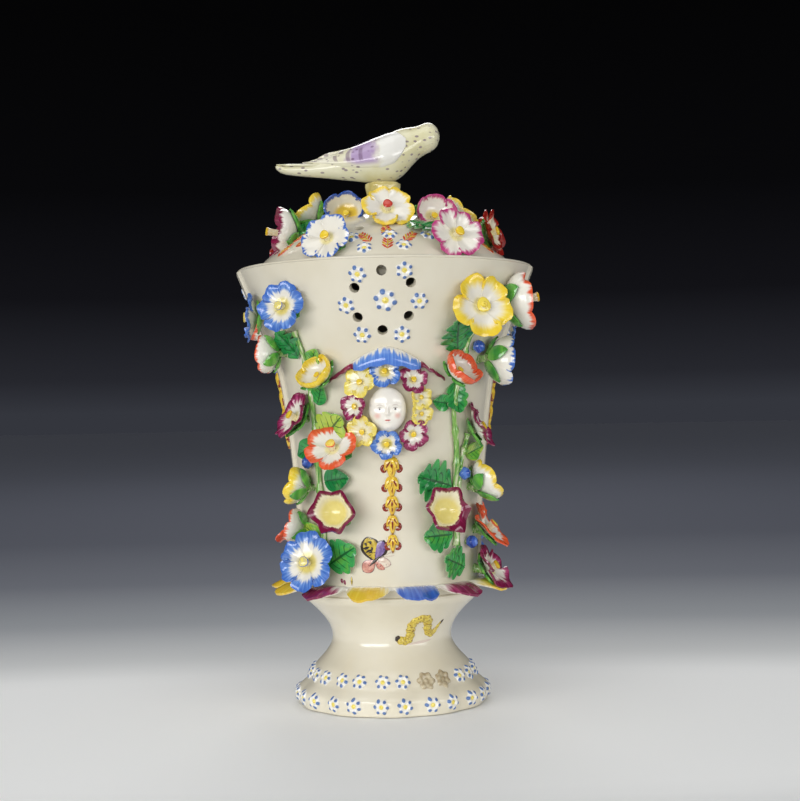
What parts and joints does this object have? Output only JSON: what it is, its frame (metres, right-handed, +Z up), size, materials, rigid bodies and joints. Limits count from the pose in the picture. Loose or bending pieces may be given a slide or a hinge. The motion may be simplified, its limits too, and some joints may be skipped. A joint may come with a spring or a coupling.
{
  "type": "potpourri vase",
  "caption": "Footed porcelain potpourri vase with a pierced flaring body, applied flower sprigs, masks and frills, and a pierced lift-off cover with a bird finial.",
  "frame": {"origin": "middle of the foot's underside, on the ground plane", "axes": "+Z up along the vase's axis, -Y out of the front, +X to the viewer's right when facing the front"},
  "size_m": [0.1336, 0.132, 0.2585],
  "materials": {
    "white_glaze": "glossy lead glaze",
    "blue_enamel": "overglaze enamel on glossy glaze",
    "yellow_enamel": "overglaze enamel on glossy glaze",
    "crimson_enamel": "overglaze enamel on glossy glaze",
    "orange_enamel": "overglaze enamel on glossy glaze",
    "red_enamel": "overglaze enamel on glossy glaze",
    "leaf_enamel": "overglaze enamel on glossy glaze",
    "stem_enamel": "overglaze enamel on glossy glaze",
    "husk_enamel": "overglaze enamel on glossy glaze",
    "bird_enamel": "overglaze enamel on glossy glaze"
  },
  "bodies": {
    "vase": {"vase_shell": "white_glaze", "foot": "white_glaze", "lower_frill": "crimson_enamel", "upper_frill_front": "blue_enamel", "upper_frill_back": "blue_enamel", "mask_front": "white_glaze", "mask_back": "white_glaze", "garland_front_blue": "blue_enamel", "garland_front_yellow": "yellow_enamel", "garland_front_crimson": "crimson_enamel", "garland_back_blue": "blue_enamel", "garland_back_yellow": "yellow_enamel", "garland_back_crimson": "crimson_enamel", "husk_drop_front": "husk_enamel", "husk_drop_back": "husk_enamel", "side_husks": "husk_enamel", "rosette_florets_front": "white_glaze", "rosette_florets_back": "white_glaze", "foot_florets_lower": "white_glaze", "foot_florets_upper": "white_glaze", "front_left_stems": "stem_enamel", "front_left_leaves": "leaf_enamel", "front_left_buds": "blue_enamel", "front_left_blue": "blue_enamel", "front_left_yellow": "yellow_enamel", "front_left_orange": "orange_enamel", "front_left_crimson": "crimson_enamel", "front_right_stems": "stem_enamel", "front_right_leaves": "leaf_enamel", "front_right_buds": "blue_enamel", "front_right_blue": "blue_enamel", "front_right_yellow": "yellow_enamel", "front_right_orange": "orange_enamel", "front_right_crimson": "crimson_enamel", "back_left_stems": "stem_enamel", "back_left_leaves": "leaf_enamel", "back_left_buds": "blue_enamel", "back_left_blue": "blue_enamel", "back_left_yellow": "yellow_enamel", "back_left_orange": "orange_enamel", "back_left_crimson": "crimson_enamel", "back_right_stems": "stem_enamel", "back_right_leaves": "leaf_enamel", "back_right_buds": "blue_enamel", "back_right_blue": "blue_enamel", "back_right_yellow": "yellow_enamel", "back_right_orange": "orange_enamel", "back_right_crimson": "crimson_enamel"},
    "cover": {"cover": "white_glaze", "cover_florets": "white_glaze", "cover_leaves": "leaf_enamel", "cover_blue": "blue_enamel", "cover_yellow": "yellow_enamel", "cover_crimson": "crimson_enamel", "cover_red": "red_enamel", "perch": "bird_enamel", "bird": "bird_enamel"}
  },
  "joints": [
    {"name": "cover_lift", "type": "slide", "parent": "vase", "child": "cover", "axis": [0, 0, 1], "range_m": [0, 0.06]}
  ]
}
